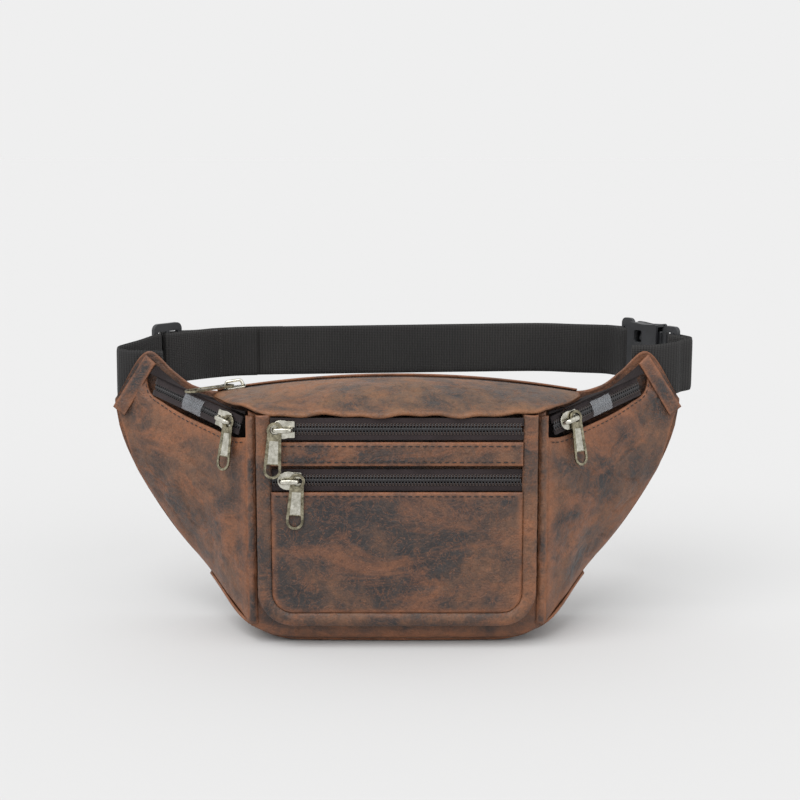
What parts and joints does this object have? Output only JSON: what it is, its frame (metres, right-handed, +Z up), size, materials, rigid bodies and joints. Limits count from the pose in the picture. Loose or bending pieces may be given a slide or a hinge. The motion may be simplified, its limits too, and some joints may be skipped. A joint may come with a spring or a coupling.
{
  "type": "waist pack",
  "caption": "Leather waist pack with a zipped main compartment, wing pockets and a raised front pocket, on an adjustable webbing belt with a side-release buckle.",
  "frame": {"origin": "centre of the flat bottom, on the surface the pack stands on", "axes": "+X to the pack's right as seen from the front, -Y the front, +Z up"},
  "size_m": [0.4188, 0.2058, 0.2085],
  "materials": {
    "leather": "waxed, distressed red-brown",
    "back_leather": "waxed brown with raw tan edges",
    "lining": "woven, dark brown",
    "zip_tape": "woven, dark brown",
    "coil": "satin black",
    "antique_brass": "antiqued, satin",
    "webbing": "ribbed, black",
    "belt_plastic": "moulded, black"
  },
  "bodies": {
    "pack": {"back_panel": "back_leather", "front_panel": "leather", "bottom_gusset": "leather", "top_front_panel": "leather", "top_rear_strip": "leather", "left_wing_panel": "leather", "right_wing_panel": "leather", "left_wing_top": "lining", "right_wing_top": "lining", "left_seam_welt": "leather", "right_seam_welt": "leather", "pocket_panel": "leather", "pocket_strip": "leather", "pocket_border": "leather", "left_tip_patch": "leather", "right_tip_patch": "leather", "left_pocket_divider": "lining", "right_pocket_divider": "lining", "main_zip_tape": "zip_tape", "main_zip_coil": "coil", "upper_zip_tape": "zip_tape", "upper_zip_coil": "coil", "lower_zip_tape": "zip_tape", "lower_zip_coil": "coil", "left_zip_tape": "zip_tape", "left_zip_coil": "coil", "right_zip_tape": "zip_tape", "right_zip_coil": "coil", "left_webbing": "webbing", "rear_webbing": "webbing", "right_webbing": "webbing", "belt_slide": "belt_plastic", "buckle_female": "belt_plastic", "buckle_male": "belt_plastic"},
    "upper_slider": {"upper_zip_slider": "antique_brass"},
    "upper_pull": {"upper_zip_pull": "antique_brass"},
    "lower_slider": {"lower_zip_slider": "antique_brass"},
    "lower_pull": {"lower_zip_pull": "antique_brass"},
    "left_slider": {"left_zip_slider": "antique_brass"},
    "left_pull": {"left_zip_pull": "antique_brass"},
    "right_slider": {"right_zip_slider": "antique_brass"},
    "right_pull": {"right_zip_pull": "antique_brass"},
    "main_slider": {"main_zip_slider": "antique_brass"},
    "main_pull": {"main_zip_pull": "antique_brass"},
    "upper_prong": {"buckle_prong_upper": "belt_plastic"},
    "lower_prong": {"buckle_prong_lower": "belt_plastic"}
  },
  "joints": [
    {"name": "upper_zip_slide", "type": "slide", "parent": "pack", "child": "upper_slider", "axis": [1, 0, 0], "range_m": [0, 0.15]},
    {"name": "lower_zip_slide", "type": "slide", "parent": "pack", "child": "lower_slider", "axis": [1, 0, 0], "range_m": [0, 0.147]},
    {"name": "upper_pull_swing", "type": "hinge", "parent": "upper_slider", "child": "upper_pull", "pos_m": [-0.0808, -0.05, 0.151], "axis": [0, -1, 0], "range_deg": [-76, 4]},
    {"name": "lower_pull_swing", "type": "hinge", "parent": "lower_slider", "child": "lower_pull", "pos_m": [-0.0664, -0.0479, 0.116], "axis": [0, -1, 0], "range_deg": [-45, 75]},
    {"name": "right_zip_slide", "type": "slide", "parent": "pack", "child": "right_slider", "axis": [0.7338, 0.6487, 0.202], "range_m": [0, 0.062]},
    {"name": "left_zip_slide", "type": "slide", "parent": "pack", "child": "left_slider", "axis": [-0.7338, 0.6487, 0.202], "range_m": [0, 0.066]},
    {"name": "right_pull_swing", "type": "hinge", "parent": "right_slider", "child": "right_pull", "pos_m": [0.12187, -0.01749, 0.15393], "axis": [0.6186, -0.7608, 0.1961], "range_deg": [-40, 30]},
    {"name": "left_pull_swing", "type": "hinge", "parent": "left_slider", "child": "left_pull", "pos_m": [-0.11424, -0.02423, 0.15183], "axis": [-0.6186, -0.7608, 0.1961], "range_deg": [-60, 40]},
    {"name": "main_zip_slide", "type": "hinge", "parent": "pack", "child": "main_slider", "pos_m": [0, 0.015, -0.574], "axis": [0, 1, 0], "range_deg": [0, 17.4]},
    {"name": "main_pull_swing", "type": "hinge", "parent": "main_slider", "child": "main_pull", "pos_m": [-0.11925, 0.015, 0.17093], "axis": [-0.0471, 0, 0.9989], "range_deg": [-7, 50]},
    {"name": "upper_prong_press", "type": "hinge", "parent": "pack", "child": "upper_prong", "pos_m": [0.19669, 0.07951, 0.194], "axis": [0.8575, 0.5145, 0], "range_deg": [-6, 0], "stiffness_Nm_per_rad": 0.4},
    {"name": "lower_prong_press", "type": "hinge", "parent": "pack", "child": "lower_prong", "pos_m": [0.19669, 0.07951, 0.17], "axis": [0.8575, 0.5145, 0], "range_deg": [0, 6], "stiffness_Nm_per_rad": 0.4}
  ]
}
